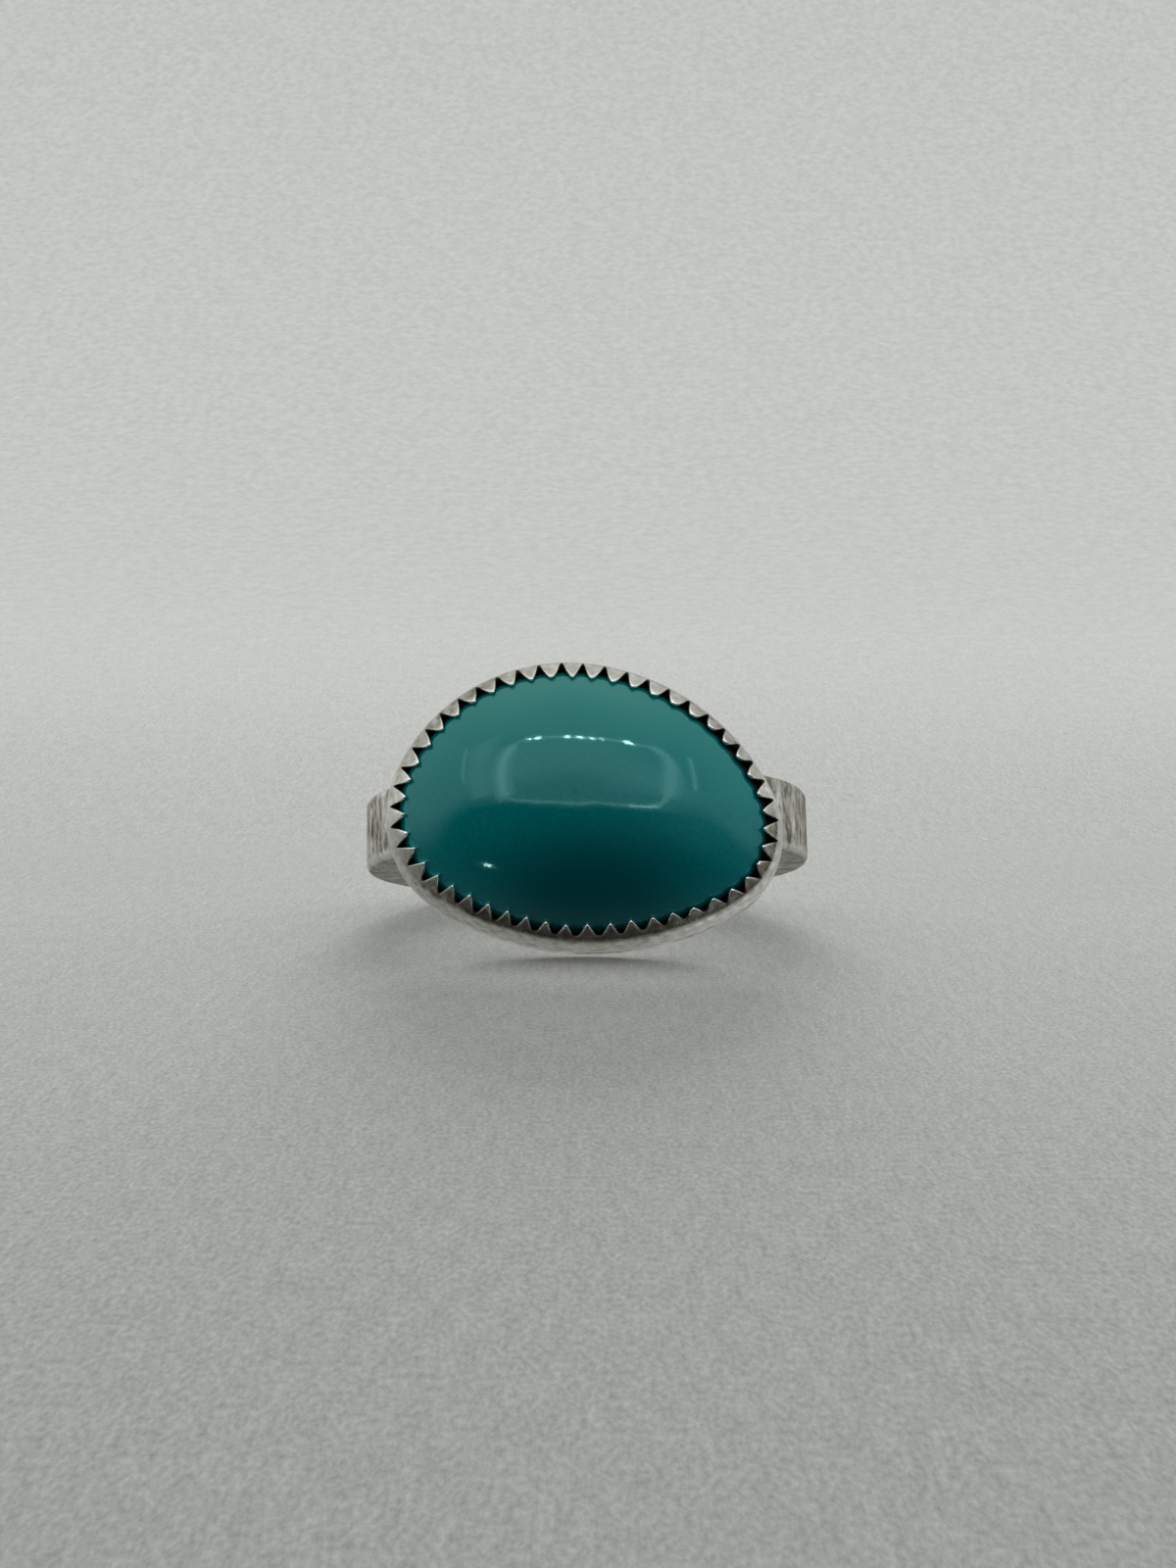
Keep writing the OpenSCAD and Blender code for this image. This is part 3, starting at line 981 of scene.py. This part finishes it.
def window_point(turn):
    """A point of the window's outline, on a smooth curve through the outline's points."""
    first = math.floor(turn)
    t = turn - first
    a, b, c, d = (WINDOW_OUTLINE[(first + k) % len(WINDOW_OUTLINE)] for k in (-1, 0, 1, 2))
    return b + 0.5 * t * (c - a + t * (2 * a - 5 * b + 4 * c - d + t * (3 * (b - c) + d - a)))


def ribbon(points, width):
    """Quads of one width along a line of points."""
    points = np.array(points)
    along = np.gradient(points, axis=0)
    aside = np.stack([-along[:, 1], along[:, 0]], axis=-1) / np.linalg.norm(along, axis=1)[:, None]
    left, right = points - aside * width / 2, points + aside * width / 2
    return [[left[i], right[i], right[i + 1], left[i + 1]] for i in range(len(points) - 1)]


def window_strip(start, end, width):
    count = 4 + int(6 * (end - start))
    return ribbon([window_point(turn) for turn in np.linspace(start, end, count)], width)


def window_dash(left, right):
    tops = np.array([window_point(turn) for turn in np.linspace(*UPPER_EDGE, 60)])
    ends = [(across, np.interp(across, tops[:, 0], tops[:, 1])) for across in (left, right)]
    return ribbon(ends, DASH_HEIGHT)


def mirrored_window():
    """The window, the wall beside it and the spark, as the stone mirrors them."""
    for name, (start, end, width, strength) in WINDOW_STRIPS.items():
        distance = WINDOW_DISTANCE + STRIP_SET_BACK * width
        reflector(name, WINDOW_FACING, distance, window_strip(start, end, width), strength)
    dashes = [quad for dash in DASHES for quad in window_dash(*dash)]
    reflector("window_dashes", WINDOW_FACING, WINDOW_DISTANCE - DASH_FORWARD, dashes, DASH_STRENGTH)
    streaks = [quad for ends in STREAKS for quad in ribbon(ends, STREAK_WIDTH)]
    reflector("window_streaks", WINDOW_FACING, WINDOW_DISTANCE, streaks, STREAK_STRENGTH)
    for layer, (width, strength) in enumerate(PALE_WALL_LAYERS):
        distance = WINDOW_DISTANCE + PALE_WALL_SET_BACK - LAYER_SPACING * layer
        reflector(f"pale_wall_{layer}", WINDOW_FACING, distance, ribbon(PALE_WALL, width), strength)
    reflector("spark", SPARK_FACING, SPARK_DISTANCE, [SPARK], SPARK_STRENGTH)


# The sun: the direction in which it shines, its strength, and how wide it is in degrees
SUN_FACING = (0, -0.96, -0.275)
SUN_STRENGTH = 3.6
SUN_WIDTH = 24


def low_sun():
    """A soft light from behind that lays the ring's shadow on the floor in front."""
    light = bpy.data.lights.new("low_sun", "SUN")
    light.energy = SUN_STRENGTH
    light.angle = math.radians(SUN_WIDTH)
    lamp = bpy.data.objects.new("low_sun", light)
    bpy.context.scene.collection.objects.link(lamp)
    lamp.rotation_mode = "QUATERNION"
    lamp.rotation_quaternion = Vector(SUN_FACING).to_track_quat("-Z", "Y")
    lamp.visible_glossy = False


# Brightness of the room in reflections. The upper part has the first two, the second one overhead,
# and what the left side and the front add to them. The dark part has the rest: what lies to the
# right, what lies behind, and the least.
ROOM_UPPER, ROOM_OVERHEAD = 0.62, 0.84
ROOM_LEFT = 0.16
ROOM_FRONT = 0.42
ROOM_RIGHT = 0.14
ROOM_BEHIND = 0.42
ROOM_LEAST = 0.01
# Light of the room on the ring and the floor: the same from all sides, what comes more from +x, +y
# and +z, what comes more from both sides, and the least
DAYLIGHT = 0.165
DAYLIGHT_SLOPES = (0.06, 0.28, 0.37)
DAYLIGHT_SIDES = 0.5
DAYLIGHT_LEAST = 0.04
# What the camera sees beyond the backdrop, and the tint of all light from the room
ROOM_SEEN = 0.5
ROOM_TINT = (0.98, 1.0, 0.97, 1)


def mirrored_room(tree, direction):
    """Brightness of the room in the ring's reflections: bright above, and dark below in front."""
    x, y, z = add(tree, "SeparateXYZ", {"Vector": direction}).outputs
    # The bright part ends at an edge, sharp and high in front, soft and low at the sides and behind
    edge = soft_ramp(tree, y, -0.68, -0.33, 0.285, -0.15)
    softness = soft_ramp(tree, y, -0.88, -0.45, 0.05, 0.34)
    over = operate(tree, "DIVIDE", operate(tree, "SUBTRACT", z, edge), softness)
    level = soft_ramp(tree, z, 0.75, 0.95, ROOM_UPPER, ROOM_OVERHEAD)
    level = plus(tree, level, ramp(tree, x, -1.0, 0.0, ROOM_LEFT, 0.0))
    in_front = times(tree, soft_ramp(tree, z, 0.42, 0.62), soft_ramp(tree, y, -0.30, -0.65))
    level = plus(tree, level, times(tree, in_front, ROOM_FRONT))
    bright = times(tree, soft_ramp(tree, over, -1, 1), level)
    right = times(tree, ramp(tree, x, 0.0, 0.7), ramp(tree, z, -0.5, 0.1))
    behind = times(tree, soft_ramp(tree, y, -0.7, 0.4), ramp(tree, z, -0.995, -0.95))
    dark = plus(tree, times(tree, right, ROOM_RIGHT), times(tree, behind, ROOM_BEHIND))
    return operate(tree, "MAXIMUM", bright, plus(tree, dark, ROOM_LEAST))


def daylight(tree, direction):
    """Brightness of the room as it lights the ring and the floor, mostly from above and behind."""
    sides = add(tree, "SeparateXYZ", {"Vector": direction}).outputs
    light = DAYLIGHT
    for side, slope in zip(sides, DAYLIGHT_SLOPES):
        light = plus(tree, times(tree, side, slope), light)
    both_sides = times(tree, sides["X"], sides["X"])
    light = plus(tree, times(tree, both_sides, DAYLIGHT_SIDES), light)
    return operate(tree, "MAXIMUM", light, DAYLIGHT_LEAST)


def studio():
    """The room round the ring, told apart for reflections, for light and for the camera."""
    world = bpy.data.worlds.new("studio")
    bpy.context.scene.world = world
    world.use_nodes = True
    tree = world.node_tree
    path = add(tree, "LightPath").outputs
    direction = add(tree, "TexCoord").outputs["Generated"]
    mirrored = times(tree, path["Is Glossy Ray"], mirrored_room(tree, direction))
    lit = times(tree, path["Is Diffuse Ray"], daylight(tree, direction))
    seen = times(tree, path["Is Camera Ray"], ROOM_SEEN)
    strength = plus(tree, plus(tree, seen, mirrored), lit)
    fill(tree, tree.nodes["Background"], {"Color": ROOM_TINT, "Strength": strength})


# The photograph's view: distance from the middle of the ring in millimetres, angle below the
# stone's axis, roll, the pixel where the middle of the ring falls in the 1200 x 1600 frame, the
# lens in pixels, and the sensor's width in millimetres
CAMERA_DISTANCE = 118.0
CAMERA_DROP = math.radians(8.1)
CAMERA_ROLL = math.radians(1.3)
RING_PIXEL = (597.5, 852.3)
FRAME_SIZE = (1200, 1600)
LENS_PIXELS = 2400
SENSOR = 36.0


def camera():
    place = CAMERA_DISTANCE * np.array([0, -math.sin(CAMERA_DROP), math.cos(CAMERA_DROP)])
    to_ring = -place / CAMERA_DISTANCE
    right = np.array([1.0, 0, 0])
    down = np.cross(to_ring, right)
    # The camera turns away from the ring until the ring falls on its pixel
    off = (np.array(RING_PIXEL) - np.array(FRAME_SIZE) / 2) / LENS_PIXELS
    forward = to_ring - off[0] * right - off[1] * down
    forward /= np.linalg.norm(forward)
    right -= forward * (forward @ right)
    right /= np.linalg.norm(right)
    down = np.cross(forward, right)
    right = math.cos(CAMERA_ROLL) * right + math.sin(CAMERA_ROLL) * down
    down = np.cross(forward, right)
    axes = np.array([right, -down, -forward]) @ RING_AXES
    data = bpy.data.cameras.new("camera")
    data.sensor_width = SENSOR
    data.lens = SENSOR * LENS_PIXELS / max(FRAME_SIZE)
    data.clip_start = 0.005
    made = bpy.data.objects.new("camera", data)
    bpy.context.scene.collection.objects.link(made)
    turn = Matrix(axes.T.tolist()).to_4x4()
    made.matrix_world = Matrix.Translation(CENTRE + Vector(MM * place @ RING_AXES)) @ turn
    bpy.context.scene.camera = made


silver = oxidised_silver()
hammered_band(silver)
back_plate(silver)
serrated_bezel(silver)
solder_seam(silver)
cabochon(polished_turquoise())
backdrop()
low_sun()
mirrored_window()
studio()
camera()
bpy.context.scene.view_settings.view_transform = "Standard"
